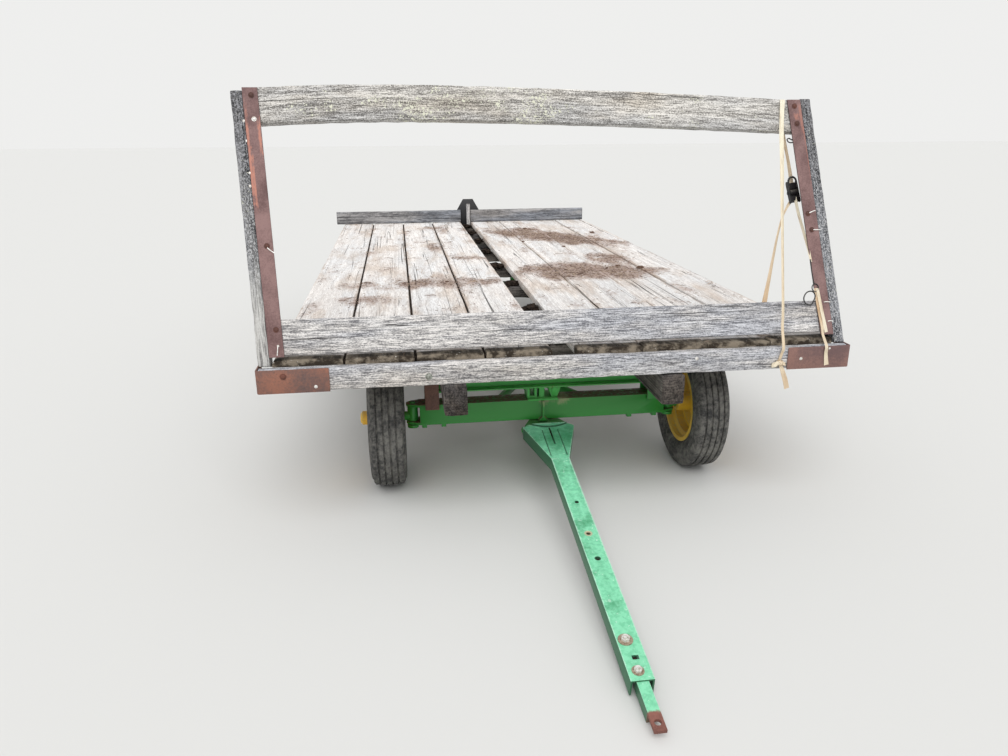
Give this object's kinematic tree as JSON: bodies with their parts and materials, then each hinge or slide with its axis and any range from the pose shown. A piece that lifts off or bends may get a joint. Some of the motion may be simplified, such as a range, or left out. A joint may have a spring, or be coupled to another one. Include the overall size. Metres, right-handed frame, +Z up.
{
  "type": "hay wagon",
  "caption": "Four-wheel farm hay wagon with a weathered plank deck, leaning headboard, steered front axle and a hinged drawbar tongue.",
  "frame": {"origin": "on the ground, under the middle of the whole wagon's box", "axes": "+Y from the tongue towards the rear, along the deck; +X to the wagon's own left; +Z up"},
  "size_m": [2.61, 6.2558, 1.8575],
  "materials": {
    "weathered_plank": "pale grey weathered softwood with brown stains",
    "weathered_board": "grey weathered softwood, deep grain",
    "rough_timber": "dark grey rough sawn timber",
    "post_timber": "dark grey wood with pale lichen",
    "rusty_steel": "brown red rust, traces of orange primer",
    "gear_paint": "green enamel, dusty",
    "tongue_paint": "green enamel, chalked and worn",
    "wheel_paint": "yellow enamel, dirty",
    "tyre_rubber": "worn dusty rubber",
    "emblem_sheet": "fluorescent orange and dark red sheet, dark back",
    "strap_webbing": "cream polyester webbing, weathered",
    "buckle_steel": "dark plated steel"
  },
  "bodies": {
    "root": {"cross_members": "rough_timber", "deck_planks_left": "weathered_plank", "deck_planks_right": "weathered_plank", "emblem_stake": "rough_timber", "front_axle": "gear_paint", "front_board": "weathered_board", "front_bolster": "gear_paint", "front_bolster_pivot": "gear_paint", "front_bracket_left": "rusty_steel", "front_bracket_right": "rusty_steel", "front_hounds": "gear_paint", "headboard_iron_left": "rusty_steel", "headboard_iron_right": "rusty_steel", "headboard_lower_board": "weathered_board", "headboard_post_left": "post_timber", "headboard_post_right": "post_timber", "headboard_top_board": "weathered_board", "ratchet": "buckle_steel", "reach_inner": "gear_paint", "reach_outer": "gear_paint", "rear_axle": "gear_paint", "rear_board_left": "rough_timber", "rear_board_right": "rough_timber", "rear_bolster": "gear_paint", "rear_hounds": "gear_paint", "sill_left": "rough_timber", "sill_right": "rough_timber", "slow_vehicle_emblem": "emblem_sheet", "stake_front_left": "gear_paint", "stake_front_right": "rusty_steel", "stake_rear_left": "rusty_steel", "stake_rear_right": "rusty_steel", "strap_fall": "strap_webbing", "strap_hanging": "strap_webbing", "strap_hook": "buckle_steel", "strap_loose": "strap_webbing", "strap_lower": "strap_webbing", "strap_thin": "strap_webbing"},
    "wheel_front_left": {"tyre_front_left": "tyre_rubber", "rim_front_left": "wheel_paint", "hub_front_left": "wheel_paint"},
    "wheel_front_right": {"tyre_front_right": "tyre_rubber", "rim_front_right": "wheel_paint", "hub_front_right": "wheel_paint"},
    "wheel_rear_left": {"tyre_rear_left": "tyre_rubber", "rim_rear_left": "wheel_paint", "hub_rear_left": "wheel_paint"},
    "wheel_rear_right": {"tyre_rear_right": "tyre_rubber", "rim_rear_right": "wheel_paint", "hub_rear_right": "wheel_paint"},
    "steering_plate": {"steering_plate": "gear_paint"},
    "knuckle_left": {"knuckle_left": "gear_paint"},
    "knuckle_right": {"knuckle_right": "gear_paint"},
    "tie_rod_left": {"tie_rod_left": "gear_paint"},
    "tie_rod_right": {"tie_rod_right": "gear_paint"},
    "tongue": {"tongue_bar": "tongue_paint", "tongue_channel": "tongue_paint"}
  },
  "joints": [
    {"name": "steering", "type": "hinge", "parent": "root", "child": "steering_plate", "pos_m": [0.024, -1.24612, 0.29], "axis": [0, 0, 1], "range_deg": [-28, 28]},
    {"name": "tongue_lift", "type": "hinge", "parent": "steering_plate", "child": "tongue", "pos_m": [0.024, -1.37613, 0.274], "axis": [-1, 0, 0], "range_deg": [0, 36]},
    {"name": "kingpin_left", "type": "hinge", "parent": "root", "child": "knuckle_left", "pos_m": [0.679, -1.24612, 0.335], "axis": [0, 0, 1], "range_deg": [-29, 29]},
    {"name": "tie_rod_swing_left", "type": "hinge", "parent": "steering_plate", "child": "tie_rod_left", "pos_m": [0.024, -1.07612, 0.276], "axis": [0, 0, 1], "range_deg": [-29, 29]},
    {"name": "kingpin_right", "type": "hinge", "parent": "root", "child": "knuckle_right", "pos_m": [-0.631, -1.24612, 0.335], "axis": [0, 0, 1], "range_deg": [-29, 29]},
    {"name": "tie_rod_swing_right", "type": "hinge", "parent": "steering_plate", "child": "tie_rod_right", "pos_m": [0.024, -1.07612, 0.276], "axis": [0, 0, 1], "range_deg": [-29, 29]},
    {"name": "wheel_spin_front_left", "type": "hinge", "parent": "knuckle_left", "child": "wheel_front_left", "pos_m": [0.804, -1.24612, 0.335], "axis": [1, 0, 0], "continuous": true},
    {"name": "wheel_spin_front_right", "type": "hinge", "parent": "knuckle_right", "child": "wheel_front_right", "pos_m": [-0.756, -1.24612, 0.335], "axis": [1, 0, 0], "continuous": true},
    {"name": "wheel_spin_rear_left", "type": "hinge", "parent": "root", "child": "wheel_rear_left", "pos_m": [0.804, 1.80387, 0.335], "axis": [1, 0, 0], "continuous": true},
    {"name": "wheel_spin_rear_right", "type": "hinge", "parent": "root", "child": "wheel_rear_right", "pos_m": [-0.756, 1.80387, 0.335], "axis": [1, 0, 0], "continuous": true}
  ],
  "couplings": [
    {"joint": "kingpin_left", "follows": "steering", "ratio": 1},
    {"joint": "tie_rod_swing_left", "follows": "steering", "ratio": -1},
    {"joint": "kingpin_right", "follows": "steering", "ratio": 1},
    {"joint": "tie_rod_swing_right", "follows": "steering", "ratio": -1}
  ]
}
